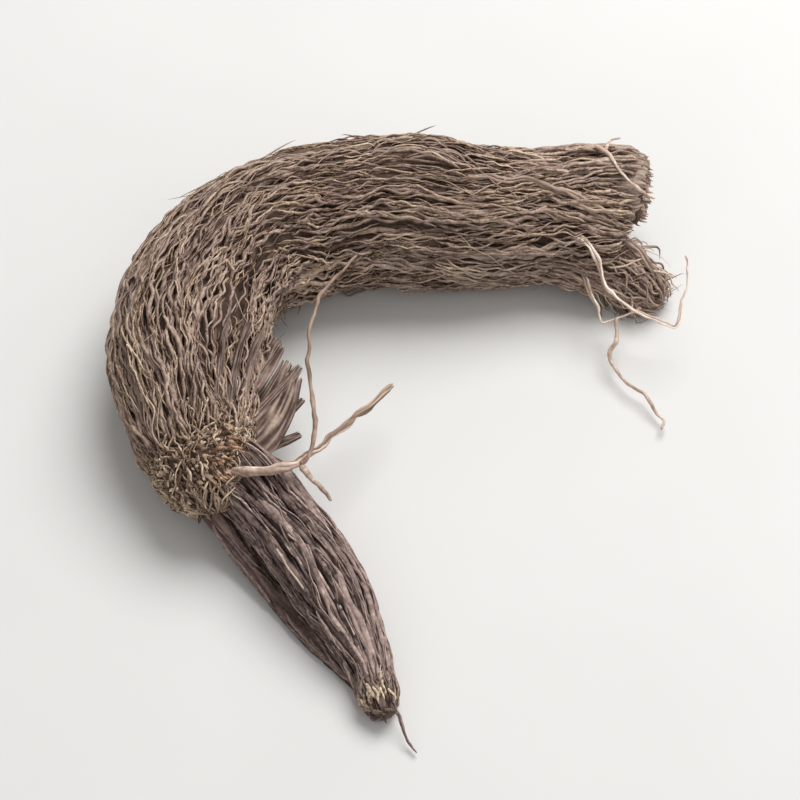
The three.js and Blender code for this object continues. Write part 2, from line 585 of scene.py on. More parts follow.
def skin(
    name: str,
    guide: GuideLine,
    sides: int,
    rings: int,
    relief: Relief,
    domes: tuple[float, float],
    material: bpy.types.Material,
) -> bpy.types.Object:
    """Build a limb's closed skin, with its relief, and flatten its sole.

    Args:
        name: The piece's name.
        guide: The limb's middle line.
        sides: Faces round the limb.
        rings: Steps along the limb.
        relief: Height above the limb's radius, from distance along and angle round.
        domes: How far each end bulges, as a share of the radius.
        material: The finish.

    Returns:
        The piece. Its Height attribute is 0 in the grooves and 1 on the ridges, and its finish paints shade
        into the grooves by it.
    """
    cap_angles = [math.pi / 2 * i / CAP_RINGS for i in range(CAP_RINGS - 1, 0, -1)]
    places = [(0.0, math.cos(a), -math.sin(a) * domes[0]) for a in cap_angles]
    places += [(guide.length * i / rings, 1.0, 0.0) for i in range(rings + 1)]
    places += [(guide.length, math.cos(a), math.sin(a) * domes[1]) for a in reversed(cap_angles)]
    turns = [TAU * k / sides for k in range(sides)]
    points: list[Vector] = []
    heights: list[float] = []
    for reach, spread, push in places:
        centre, tangent, girth = guide.at(reach)
        centre = centre + tangent * girth * push
        for turn in turns:
            rise = relief(reach + girth * push, turn)
            points.append(centre + around(tangent, turn) * (girth + rise) * spread)
            heights.append(rise)
    for reach, push in ((0.0, -domes[0]), (guide.length, domes[1])):
        centre, tangent, girth = guide.at(reach)
        points.append(centre + tangent * girth * push)
        heights.append(0.0)
    faces: list[tuple[int, ...]] = []
    for ring in range(len(places) - 1):
        for k in range(sides):
            a, b = ring * sides + k, ring * sides + (k + 1) % sides
            faces.append((a, b, b + sides, a + sides))
    last_ring = (len(places) - 1) * sides
    for k in range(sides):
        after = (k + 1) % sides
        faces.append((len(points) - 2, after, k))
        faces.append((len(points) - 1, last_ring + k, last_ring + after))
    for point in points:
        point.z = max(point.z, 0.0)
    mesh = bpy.data.meshes.new(name)
    mesh.from_pydata(points, [], faces)
    low, high = min(heights), max(heights)
    scaled = [(h - low) / max(high - low, TINY) for h in heights]
    return dressed(name, mesh, material, scaled)


@dataclass(frozen=True)
class Ridges:
    """Long ridges with thin grooves between them, as on shrunken bark or combed felt."""

    depth: float  # metres
    width: float  # metres, across the limb
    length: float  # metres, along the limb
    girth: float  # metres, the limb's usual radius
    twist: float = 0.0  # turns of the pattern for each metre
    lumps: float = 0.0  # metres, how far broad swellings rise
    seed: float = 0.0
    inset: float = 0.0  # metres, how deep the whole skin is set in

    def height(self, reach: float, turn: float) -> float:
        """Return the height of the surface at a place on the limb, in metres."""
        angle = turn + TAU * self.twist * reach
        across = self.girth / self.width
        place = Vector(
            (math.cos(angle) * across, math.sin(angle) * across, reach / self.length + self.seed),
        )
        plates = min(1.0, 2.2 * abs(noise.noise(place))) ** 0.6
        strands = min(1.0, 2.5 * abs(noise.noise(place * 2.3 + Vector((5, 9, 2))))) ** 0.7
        broad = noise.noise(Vector((math.cos(turn), math.sin(turn), reach / 0.007 + self.seed)) * 1.1)
        return self.depth * (0.65 * plates + 0.35 * strands - 1.0) + self.lumps * broad - self.inset


# ---- Tubes grown by geometry nodes ---------------------------------------------------------------


class TubeTree:
    """Geometry nodes that grow many small tubes, with a named input for each measure of a dataclass."""

    KINDS = {"float": "Float", "int": "Int", "Vector": "Vector"}
    OWN_DATA = ("Tone", "Along", "Thick", "Round", "Girth")
    SALT_STEP = 101

    def __init__(self, name: str, settings: type) -> None:
        """Build the tree.

        Args:
            name: The tree's name.
            settings: The dataclass whose measures the tree takes in.
        """
        self.name = name
        self.measures = [item for item in fields(settings) if item.type in self.KINDS]
        takes = {self.label(item.name): self.KINDS[item.type] for item in self.measures}
        takes = {"Source": "Geometry", **takes, "Finish": "Material"}
        self.wiring = Wiring(new_tree(name, "GeometryNodeTree", takes, {"Tubes": "Geometry"}))
        self.given = self.wiring.node("NodeGroupInput").outputs
        self._deliver(self._tubes())

    @staticmethod
    def label(name: str) -> str:
        """Return a measure's name as its socket shows it."""
        return name.replace("_", " ").capitalize()

    def _tubes(self) -> Feed:
        """Return the tubes, which know their Tone, Along and Round."""
        raise NotImplementedError

    def _input(self, name: str) -> Feed:
        """Return the group input of a measure."""
        return self.given[self.label(name)]

    def _random(self, salt: int, low: float, feeds: dict[int | str, Feed] | None = None) -> Feed:
        """Return a number from low to 1 that is fixed for each tube.

        Args:
            salt: Tells one use from another.
            low: The least that it can be.
            feeds: What else goes into the node.

        Returns:
            The number.
        """
        seed = self.wiring.sum(self._input("seed"), float(salt * self.SALT_STEP))
        feeds = {2: low, 3: 1.0, "Seed": seed, **(feeds or {})}
        return self.wiring.node("FunctionNodeRandomValue", feeds, data_type="FLOAT").outputs[1]

    def _wrapped(self, lines: Feed, sides: Feed) -> Feed:
        """Return lines as closed tubes, as thick as their Thick says."""
        w = self.wiring
        section = w.first("GeometryNodeCurvePrimitiveCircle", {"Resolution": sides, "Radius": 1.0})
        section = w.stored(section, "Round", w.maths("DIVIDE", w.first("GeometryNodeInputIndex"), sides))
        feeds = {"Curve": lines, "Profile Curve": section, "Scale": w.named("Thick"), "Fill Caps": True}
        return w.first("GeometryNodeCurveToMesh", feeds)

    def _deliver(self, tubes: Feed) -> None:
        """Give the tubes their map and finish, and put them out."""
        w = self.wiring
        real = w.first("GeometryNodeRealizeInstances", {"Geometry": tubes})
        across = w.sum(w.named("Tone"), w.product(w.named("Round"), ROUND_STEP))
        mapped = w.stored(real, BAKE_MAP, w.combined(across, w.named("Along")), "FLOAT2", "CORNER")
        smooth = w.first("GeometryNodeSetShadeSmooth", {"Geometry": mapped})
        feeds = {"Geometry": smooth, "Material": self.given["Finish"]}
        w.node("NodeGroupOutput", {0: w.first("GeometryNodeSetMaterial", feeds)})

    def grown(
        self, piece: bpy.types.Object, settings: object, finish: bpy.types.Material
    ) -> bpy.types.Object:
        """Run the tree on a piece and keep the result as its plain mesh.

        Args:
            piece: An object that holds the line or the surface to grow on.
            settings: The measures to grow by.
            finish: The tubes' material.

        Returns:
            The same object, with no modifier left on it.
        """
        modifier = piece.modifiers.new(self.name, "NODES")
        modifier.node_group = self.wiring.tree
        sockets = self.wiring.tree.interface.items_tree
        keys = {socket.name: socket.identifier for socket in sockets if socket.in_out == "INPUT"}
        for item in self.measures:
            value = getattr(settings, item.name)
            modifier[keys[self.label(item.name)]] = tuple(value) if isinstance(value, Vector) else value
        modifier[keys["Finish"]] = finish
        bpy.context.view_layer.update()
        graph = bpy.context.evaluated_depsgraph_get()
        evaluated = piece.evaluated_get(graph)
        mesh = bpy.data.meshes.new_from_object(evaluated, preserve_all_data_layers=True, depsgraph=graph)
        piece.modifiers.clear()
        old, piece.data = piece.data, mesh
        bpy.data.meshes.remove(old)
        mesh.name = piece.name
        for name in self.OWN_DATA:
            if name in mesh.attributes:
                mesh.attributes.remove(mesh.attributes[name])
        return piece


@dataclass(frozen=True)
class StrandLay:
    """How a crowd of strands lies along a guide line. Lengths are in metres."""

    count: int
    points: int = 34
    sides: int = 5
    seed: int = 1
    length: float = 0.016
    length_spread: float = 0.35
    first: float = 0.0
    ragged: float = 0.0015
    thickness: float = 0.0002
    lift: float = 0.0
    depth: float = 0.0006
    crossing: float = 0.16
    columns: int = 4096
    weave_width: float = 0.0
    weave_pitch: float = 0.0017
    net_width: float = 0.0004
    net_pitch: float = 0.0016
    flow_width: float = 0.0012
    flow_pitch: float = 0.010
    ripple: float = 0.00018
    # metres that the bundles swell; the same swelling also paints shade into the grooves between them
    swell: float = 0.0
    tuck: float = 0.0009
    flyaway: float = 0.0
    splay: float = 0.0
    tone: float = 0.5
    tone_spread: float = 0.35
    tone_rise: float = 0.0


class StrandTree(TubeTree):
    """Lays strands along a guide line as a StrandLay says."""

    BUNDLE_PITCH = 0.009  # metres
    THINNEST_LIMB = 0.0004  # metres, the least radius that strands are turned round

    def __init__(self) -> None:
        """Build the tree."""
        super().__init__("Loose strands", StrandLay)

    def _chance(self, salt: int) -> Feed:
        """Return a number from 0 to 1 that is fixed for each strand."""
        return self._random(salt, 0.0, {"ID": self.strand})

    def _either_way(self, salt: int) -> Feed:
        """Return a number from -1 to 1 that is fixed for each strand."""
        return self.wiring.maths("MULTIPLY_ADD", self._chance(salt), 2.0, -1.0)

    def _tubes(self) -> Feed:
        """Return the strands as tubes."""
        self._number()
        self._run_along()
        self._turn_round()
        self._thicken()
        return self._wrapped(self._lines(self._rise()), self._input("sides"))

    def _number(self) -> None:
        """Number the strands, and the points along each."""
        w = self.wiring
        index = w.first("GeometryNodeInputIndex")
        self.strand = w.maths("FLOOR", w.maths("DIVIDE", index, self._input("points")))
        self.step = w.maths("SUBTRACT", index, w.product(self.strand, self._input("points")))
        self.along = w.maths("DIVIDE", self.step, w.maths("SUBTRACT", self._input("points"), 1.0))
        self.salted = w.sum(w.product(self.strand, 3.7), self._input("seed"))

    def _run_along(self) -> None:
        """Find how far along the guide each point is, and read the guide there."""
        w = self.wiring
        guide = w.first("GeometryNodeMeshToCurve", {0: self.given["Source"]})
        total = w.first("GeometryNodeCurveLength", {0: guide})
        spread = w.maths("MULTIPLY_ADD", self._either_way(0), self._input("length_spread"), 1.0)
        half = w.product(self._input("length"), spread, 0.5)
        low = w.product(total, self._input("first"))
        middle = w.sum(low, w.product(self._chance(1), w.maths("SUBTRACT", total, low)))
        low = w.sum(low, w.product(self._chance(8), self._input("ragged")))
        high = w.maths("SUBTRACT", total, w.product(self._chance(9), self._input("ragged")))
        start = w.maths("MAXIMUM", w.maths("SUBTRACT", middle, half), low)
        end = w.maths("MINIMUM", w.sum(middle, half), high)
        self.offset = w.product(w.maths("SUBTRACT", end, start), w.maths("SUBTRACT", self.along, 0.5))
        self.reach = w.sum(w.product(w.sum(start, end), 0.5), self.offset)
        self.share = w.sum(w.maths("DIVIDE", self.reach, total), -0.5)
        feeds = {"Curves": guide, "Value": w.named("Girth"), "Length": self.reach}
        reading = {"data_type": "FLOAT", "mode": "LENGTH", "use_all_curves": True}
        sample = w.node("GeometryNodeSampleCurve", feeds, **reading)
        self.girth, self.centre, self.tangent = sample.outputs[:3]

    def _on_limb(self, pitch: Feed, start: Feed, breadth: float) -> Feed:
        """Return a place for noise that runs along the limb and closes round it.

        Args:
            pitch: How far along the limb the noise changes.
            start: The strand's angle round the limb.
            breadth: How fast the noise changes round the limb.

        Returns:
            The place.
        """
        w = self.wiring
        sides = (w.product(w.maths(way, start), breadth) for way in ("COSINE", "SINE"))
        return w.combined(w.maths("DIVIDE", self.reach, pitch), *sides)

    def _turn_round(self) -> None:
        """Find the angle round the limb: a start, then the weave, the net and the shared flow."""
        w = self.wiring
        column = w.maths("FLOOR", w.product(self._chance(2), self._input("columns")))
        start = w.maths("DIVIDE", w.product(column, TAU), self._input("columns"))
        place = self._on_limb(self._input("flow_pitch"), start, 1.6)
        self.flow = w.swing(place)
        self.patch = w.swing(w.scaled(place, 2.3), 1.0)
        self.bundle = w.swing(self._on_limb(self.BUNDLE_PITCH, start, 4.5))
        phase = w.product(w.maths("DIVIDE", self.reach, self._input("weave_pitch")), TAU)
        phase = w.sum(phase, w.product(column, math.pi), w.product(self.patch, 5.0))
        weave = w.product(w.maths("SINE", phase), w.maths("MULTIPLY_ADD", self.flow, 0.7, 1.0))
        pitch = w.maths("DIVIDE", self.reach, self._input("net_pitch"))
        net = w.swing(w.combined(pitch, self.salted, 0.0), 1.0)
        self.ripple = w.swing(w.combined(pitch, self.salted, 7.0))
        slope = w.product(self._either_way(3), self._input("crossing"))
        aside = w.sum(
            w.product(weave, self._input("weave_width")),
            w.product(net, self._input("net_width")),
            w.product(self.flow, self._input("flow_width")),
            w.product(self.offset, slope),
        )
        radius = w.maths("MAXIMUM", self.girth, self.THINNEST_LIMB)
        self.turn = w.sum(start, w.maths("DIVIDE", aside, radius))

    def _thicken(self) -> None:
        """Find how thick each point is: knotty, and thin at the strand's ends."""
        w = self.wiring
        self.endness = w.maths("ABSOLUTE", w.maths("MULTIPLY_ADD", self.along, 2.0, -1.0))
        self.near_end = w.maths("POWER", self.endness, 5.0)
        knots = w.swing(w.combined(self.salted, w.product(self.reach, 900.0), 3.0))
        self.thickness = w.product(
            self._input("thickness"),
            w.maths("MULTIPLY_ADD", self._chance(5), 0.9, 0.55),
            w.maths("MULTIPLY_ADD", knots, 0.45, 1.0),
            w.maths("SUBTRACT", 1.0, w.product(self.near_end, 0.85)),
        )

    def _rise(self) -> Feed:
        """Return each point's place: how far out it is, tucked in or flying away at its ends."""
        w = self.wiring
        side = w.vectors("NORMALIZE", w.vectors("CROSS_PRODUCT", tuple(UP), self.tangent))
        up = w.vectors("CROSS_PRODUCT", self.tangent, side)
        self.sunk = self._chance(4)
        wild = w.maths("POWER", self._chance(6), 4.0)
        radial = w.sum(
            self.girth,
            self._input("lift"),
            w.product(self.sunk, self._input("depth"), -1.0),
            w.product(self.ripple, self._input("ripple")),
            w.product(self.bundle, self._input("swell")),
            w.product(self.near_end, self._input("tuck"), -1.0),
            w.product(w.maths("POWER", self.endness, 3.0), wild, self._input("flyaway")),
            w.product(w.maths("POWER", self.along, 2.5), self._either_way(7), self._input("splay")),
        )
        across = w.scaled(side, w.maths("COSINE", self.turn))
        outward = w.vectors("ADD", across, w.scaled(up, w.maths("SINE", self.turn)))
        x, y, z = w.parted(w.vectors("ADD", self.centre, w.scaled(outward, radial)))
        return w.combined(x, y, w.maths("MAXIMUM", z, self.thickness))

    def _lines(self, place: Feed) -> Feed:
        """Return the strands as curves that know their tone and thickness."""
        w = self.wiring
        tone = w.sum(
            self._input("tone"),
            w.product(self._either_way(10), self._input("tone_spread")),
            # Painted shade: strands that lie deeper in the mat are darker.
            w.product(self.sunk, -0.22),
            w.product(self.patch, 0.12),
            # Painted shade: strands in the grooves between bundles are darker, those on the swellings paler.
            w.product(self.bundle, self._input("swell"), 100.0),
            w.product(self.share, self._input("tone_rise")),
        )
        cloud = w.first("GeometryNodePoints", {0: w.product(self._input("count"), self._input("points"))})
        for name, value in (("Tone", w.toned(tone)), ("Along", self.along), ("Thick", self.thickness)):
            cloud = w.stored(cloud, name, value)
        cloud = w.first("GeometryNodeSetPosition", {"Geometry": cloud, "Position": place})
        feeds = {0: cloud, "Curve Group ID": self.strand, "Weight": self.step}
        return w.first("GeometryNodePointsToCurves", feeds)

    def lay(
        self, name: str, guide: GuideLine, lay: StrandLay, finish: bpy.types.Material
    ) -> bpy.types.Object:
        """Return strands that follow a guide line."""
        return self.grown(guide.as_object(name), lay, finish)


@dataclass(frozen=True)
class StubCoat:
    """How short stubs stand on a surface. Lengths are in metres."""

    spacing: float = 0.00045
    length: float = 0.0011
    thickness: float = 0.00024
    bend: float = 0.3
    lean: Vector = Vector((0.0, 0.0, 0.0))
    edge: Vector = Vector((0.0, 0.0, 0.0))
    beyond: Vector = Vector((0.0, 0.0, 1.0))
    tone: float = 0.5
    tone_spread: float = 0.4
    seed: int = 1


class StubTree(TubeTree):
    """Stands stubs on a surface as a StubCoat says."""

    MOST_DENSE = 8.0e6  # stubs a square metre before the spacing thins them
    CLEARANCE = 0.0014  # metres above the ground where the lowest stubs stand
    SIDES = 6
    RINGS = 4
    JITTER = 0.6
    JITTER_SEED = 77

    def __init__(self) -> None:
        """Build the tree."""
        super().__init__("Standing stubs", StubCoat)

    def _stub(self) -> Feed:
        """Return one bent, blunt stub, one unit tall and about one unit thick."""
        w = self.wiring
        line = w.first("GeometryNodeCurvePrimitiveLine", {"Start": (0.0, 0.0, 0.0), "End": (0.0, 0.0, 1.0)})
        line = w.first("GeometryNodeResampleCurve", {"Curve": line, "Count": self.RINGS})
        along = w.maths("DIVIDE", w.first("GeometryNodeInputIndex"), self.RINGS - 1.0)
        thick = w.maths("SQRT", w.maths("SUBTRACT", 1.04, w.maths("POWER", along, 4.0)))
        stub = self._wrapped(w.stored(w.stored(line, "Along", along), "Thick", thick), self.SIDES)
        push = w.product(w.maths("POWER", w.named("Along"), 2.0), self._input("bend"), 3.0)
        return w.first("GeometryNodeSetPosition", {"Geometry": stub, "Offset": w.combined(push, 0.0)})

    def _tubes(self) -> Feed:
        """Return the stubs standing on the part of the surface that lies beyond the edge."""
        w = self.wiring
        place = w.first("GeometryNodeInputPosition")
        feeds = {0: w.vectors("SUBTRACT", place, self._input("edge")), 1: self._input("beyond")}
        past = w.node("ShaderNodeVectorMath", feeds, operation="DOT_PRODUCT").outputs[1]
        clear = w.maths("GREATER_THAN", w.parted(place)[2], self.CLEARANCE)
        feeds = {
            "Mesh": self.given["Source"],
            "Selection": w.product(w.maths("GREATER_THAN", past, 0.0), clear),
            "Distance Min": self._input("spacing"),
            "Density Max": self.MOST_DENSE,
            "Seed": self._input("seed"),
        }
        spots = w.node("GeometryNodeDistributePointsOnFaces", feeds, distribute_method="POISSON")
        paler, wider, taller = (self._random(salt, -1.0) for salt in range(3))
        tone = w.sum(self._input("tone"), w.product(paler, self._input("tone_spread")))
        cloud = w.stored(spots.outputs[0], "Tone", w.toned(tone))
        feeds = {0: (-self.JITTER,) * 3, 1: (self.JITTER,) * 3, "Seed": self.JITTER_SEED}
        jitter = w.first("FunctionNodeRandomValue", feeds, data_type="FLOAT_VECTOR")
        aim = w.vectors("ADD", w.vectors("ADD", spots.outputs[1], self._input("lean")), jitter)
        turned = w.first("FunctionNodeAlignRotationToVector", {"Vector": aim}, axis="Z")
        width = w.product(self._input("thickness"), w.maths("MULTIPLY_ADD", wider, 0.35, 1.0))
        tall = w.product(self._input("length"), w.maths("MULTIPLY_ADD", taller, 0.5, 1.0))
        size = w.combined(width, width, tall)
        feeds = {"Points": cloud, "Instance": self._stub(), "Rotation": turned, "Scale": size}
        return w.first("GeometryNodeInstanceOnPoints", feeds)

    def cover(
        self, name: str, surface: bpy.types.Object, coat: StubCoat, finish: bpy.types.Material
    ) -> bpy.types.Object:
        """Return stubs that stand on a surface, which stays as it is."""
        return self.grown(linked(name, surface.data.copy()), coat, finish)


# ---- Wires and ribbons ---------------------------------------------------------------------------


@dataclass(frozen=True)
class Wire:
    """A wiry rootlet of one or more plies: the places it passes in millimetres, and how it thins."""

    route: tuple[Place, ...]
    thick: float = 0.22
    thin: float = 0.12
    tone: float = 0.6
    fade: float = -0.09  # how much paler each ply is than the one before
    kink: float = 0.34
    plies: int = 1
    seed: int = 1

    def middle(self) -> GuideLine:
        """Return the rootlet's middle line, with its small kinks."""
        last = len(self.route) - 1
        girths = (self.thick * (1 - i / last) + self.thin * (i / last) for i in range(last + 1))
        guide = GuideLine([Vector((*p, girth)) * MM for p, girth in zip(self.route, girths)], steps=12)
        for i, (point, reach) in enumerate(zip(guide.points, guide.reach)):
            bow = noise.noise_vector(Vector((reach / 0.0022, self.seed * 7.3, 0.5)))
            crook = noise.noise_vector(Vector((reach / 0.0007, self.seed * 7.3, 3.5)))
            guide.points[i] = point + (bow + crook * 0.3) * self.kink * MM
            guide.girths[i] *= 1 + 0.4 * noise.noise(Vector((reach / 0.0011, self.seed * 3.1, 9.5)))
        return guide

    def lines(self) -> list[GuideLine]:
        """Return the line of each ply. More than one ply twist loosely round the middle line."""
        made = [self.middle() for _ in range(self.plies)]
        if self.plies == 1:
            return made
        for ply, guide in enumerate(made):
            for i, (point, ahead) in enumerate(zip(guide.points, guide.headings())):
                reach, girth = guide.reach[i], guide.girths[i]
                turn = TAU * (ply / self.plies + 45.0 * reach)
                drift = 0.95 + 0.7 * noise.noise(Vector((reach / 0.002, ply * 3.3, self.seed)))
                guide.points[i] = point + around(ahead, turn) * girth * drift * 0.7
                guide.girths[i] = girth * 0.5
        return made


class TubeDraft:
    """Gathers closed tubes into one mesh whose map holds tone and place along."""

    CLEARANCE = 0.00002  # metres above the ground

    def __init__(self) -> None:
        """Start with nothing."""
        self.points: list[Vector] = []
        self.faces: list[tuple[int, ...]] = []
        self.maps: list[tuple[float, float]] = []

    def add(self, guide: GuideLine, sides: int, tone: float) -> None:
        """Add one tube.

        Args:
            guide: Its line and radius.
            sides: Faces round it.
            tone: How pale it is, 0 to 1.
        """
        base = len(self.points)
        tangents = guide.headings()
        last = len(tangents) - 1
        tones = [tone + ROUND_STEP * k / sides for k in range(sides + 1)]
        out = tangents[0].orthogonal().normalized()
        for i, (centre, tangent) in enumerate(zip(guide.points, tangents)):
            if i:
                out = (tangents[i - 1].rotation_difference(tangent) @ out).normalized()
            blunt = min(1.0, 0.45 + 0.4 * min(i, last - i))
            for k in range(sides):
                point = centre + Quaternion(tangent, TAU * k / sides) @ out * guide.girths[i] * blunt
                point.z = max(point.z, self.CLEARANCE)
                self.points.append(point)
        for i in range(last):
            start, end = i / last, (i + 1) / last
            for k in range(sides):
                a, b = base + i * sides + k, base + i * sides + (k + 1) % sides
                self.faces.append((a, b, b + sides, a + sides))
                low, high = tones[k], tones[k + 1]
                self.maps += [(low, start), (high, start), (high, end), (low, end)]
        for ring, place in ((base, 0.0), (base + last * sides, 1.0)):
            turns = range(sides) if place else range(sides - 1, -1, -1)
            self.faces.append(tuple(ring + k for k in turns))
            self.maps += [(tones[k], place) for k in turns]

    def made(self, name: str, material: bpy.types.Material) -> bpy.types.Object:
        """Return the finished piece."""
        mesh = bpy.data.meshes.new(name)
        mesh.from_pydata(self.points, [], self.faces)
        uv = mesh.uv_layers.new(name=BAKE_MAP)
        uv.data.foreach_set("uv", [number for pair in self.maps for number in pair])
        return dressed(name, mesh, material)


def sheet(name: str, rows: int, columns: int, spot: Spot, material: bpy.types.Material) -> bpy.types.Object:
    """Build a thin closed sheet from a rule.

    Args:
        name: The piece's name.
        rows: Steps from foot to tip.
        columns: Steps from edge to edge.
        spot: Gives a place and a height from 0 to 1, from the share along, the share across and the face.
        material: The finish.

    Returns:
        The piece, with the heights as its Height attribute.
    """
    steps = [(row / rows, column / columns) for row in range(rows + 1) for column in range(columns + 1)]
    spots = [spot(along, across, face) for face in (1, -1) for along, across in steps]
    wide, below = columns + 1, len(steps)
    faces: list[tuple[int, ...]] = []
    for row in range(rows):
        for a in range(row * wide, row * wide + columns):
            faces.append((a, a + 1, a + wide + 1, a + wide))
            faces.append((below + a, below + a + wide, below + a + wide + 1, below + a + 1))
    rim = [*range(wide)]
    rim += [row * wide + columns for row in range(1, rows + 1)]
    rim += [rows * wide + column for column in range(columns - 1, -1, -1)]
    rim += [row * wide for row in range(rows - 1, 0, -1)]
    faces += [(b, a, below + a, below + b) for a, b in zip(rim, rim[1:] + rim[:1])]
    mesh = bpy.data.meshes.new(name)
    mesh.from_pydata([place for place, _ in spots], [], faces)
    return dressed(name, mesh, material, [height for _, height in spots])


# ---- The root's own parts ------------------------------------------------------------------------


def stations(*rows: tuple[float, float, float, float]) -> tuple[Station, ...]:
    """Return stations from rows of x, y, underside and radius."""
    return tuple(Station(*row) for row in rows)


@dataclass
class Assembly:
    """A part of the root: the tools it is made with and the pieces it has so far."""

    strands: StrandTree
    stubs: StubTree
    pieces: list[bpy.types.Object] = field(default_factory=list)

    def keep(self, piece: bpy.types.Object) -> bpy.types.Object:
        """Ride a piece on the root and note it."""
        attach(piece, ROOT_BODY)
        self.pieces.append(piece)
        mesh = piece.data
        LOG.info("%s: %d triangles", piece.name, len(mesh.loops) - 2 * len(mesh.polygons))
        return piece

    def lay(self, name: str, guide: GuideLine, lay: StrandLay, finish: bpy.types.Material) -> None:
        """Keep a crowd of strands."""
        self.keep(self.strands.lay(name, guide, lay, finish))

    def cover(
        self, name: str, surface: bpy.types.Object, coat: StubCoat, finish: bpy.types.Material
    ) -> None:
        """Keep a coat of stubs."""
        self.keep(self.stubs.cover(name, surface, coat, finish))

    def draw(self, name: str, wires: Sequence[Wire], finish: bpy.types.Material, sides: int = 8) -> None:
        """Keep some wires as one piece."""
        draft = TubeDraft()
        for wire in wires:
            for ply, line in enumerate(wire.lines()):
                draft.add(line, sides, wire.tone + wire.fade * ply)
        self.keep(draft.made(name, finish))


@dataclass
class Sheath(Assembly):
    """The hooked rootstock's under felt and the mat of fibres over it."""

    line: tuple[Station, ...] = stations(
        (20.4, 21.6, 0.1, 4.7), (17.6, 21.5, 0.0, 5.3), (13.0, 21.5, 0.0, 5.6), (7.6, 21.3, 0.0, 6.2),
        (2.0, 21.4, 0.0, 6.6), (-3.6, 21.3, 0.0, 6.5), (-9.0, 20.2, 0.0, 6.4), (-13.8, 17.3, 0.0, 6.4),
        (-16.9, 12.8, 0.0, 6.4), (-18.2, 7.6, 0.0, 6.5), (-18.3, 2.9, 0.2, 6.1), (-17.8, -0.9, 0.7, 5.4),
        (-17.2, -3.6, 1.1, 4.8), (-16.8, -5.2, 1.3, 4.4),
    )
    felt: Ridges = Ridges(
        depth=0.0006, width=0.0011, length=0.0042, girth=0.0062, twist=6.0, lumps=0.0004, inset=0.0007,
    )
    mat: tuple[tuple[str, Finish, StrandLay], ...] = (
        (
            "sheath_under_cords", SHEATH_FIBRE,
            StrandLay(
                count=280, points=22, sides=4, seed=3, thickness=0.00024, lift=-0.0003, net_width=0.0005,
                swell=0.0008, tone=0.36,
            ),
        ),
        (
            "sheath_net", SHEATH_FIBRE,
            StrandLay(
                count=1080, points=27, sides=3, seed=8, length=0.0065, thickness=0.00015, depth=0.0003,
                crossing=0.14, columns=74, weave_width=0.00013, weave_pitch=0.0031, net_width=0.00027,
                net_pitch=0.0018, ripple=0.00046, swell=0.0008, tuck=0.0005, tone=0.48, tone_spread=0.19,
            ),
        ),
        (
            "sheath_loose_net", SHEATH_FIBRE,
            StrandLay(
                count=1080, points=26, sides=3, seed=29, length=0.0055, thickness=0.00014, lift=0.00016,
                depth=0.0003, crossing=0.24, columns=66, weave_width=0.00014, weave_pitch=0.0035,
                net_width=0.00036, net_pitch=0.0014, ripple=0.00046, swell=0.0008, tone=0.52,
                tone_spread=0.19,
            ),
        ),
        (
            "sheath_fine_fibres", GOLDEN_FIBRE,
            StrandLay(
                count=980, points=15, sides=3, seed=15, length=0.004, thickness=0.00009, lift=0.00028,
                depth=0.0004, crossing=0.35, net_width=0.0005, net_pitch=0.0013, ripple=0.0003,
                swell=0.0008, flyaway=0.0006, tone=0.5, tone_spread=0.25,
            ),
        ),
        (
            "sheath_loose_hairs", SHEATH_FIBRE,
            StrandLay(
                count=130, points=22, sides=3, seed=41, length=0.007, thickness=0.00006, lift=0.0002,
                depth=0.0002, crossing=0.7, net_width=0.0014, net_pitch=0.003, flyaway=0.0028, tone=0.5,
            ),
        ),
    )

    def build(self) -> None:
        """Make the felt, the cords of the mat, the finer fibres and the loose hairs."""
        guide = GuideLine.lying(self.line)
        core = GuideLine.lying(self.line[2:])
        felt = UNDER_FELT_GAP_SHADE.material()
        self.keep(skin("under_felt", core, 90, 130, self.felt.height, (0.7, 0.8), felt))
        materials = {finish: finish.material() for finish in (SHEATH_FIBRE, GOLDEN_FIBRE)}
        for name, finish, lay in self.mat:
            self.lay(name, guide, lay, materials[finish])


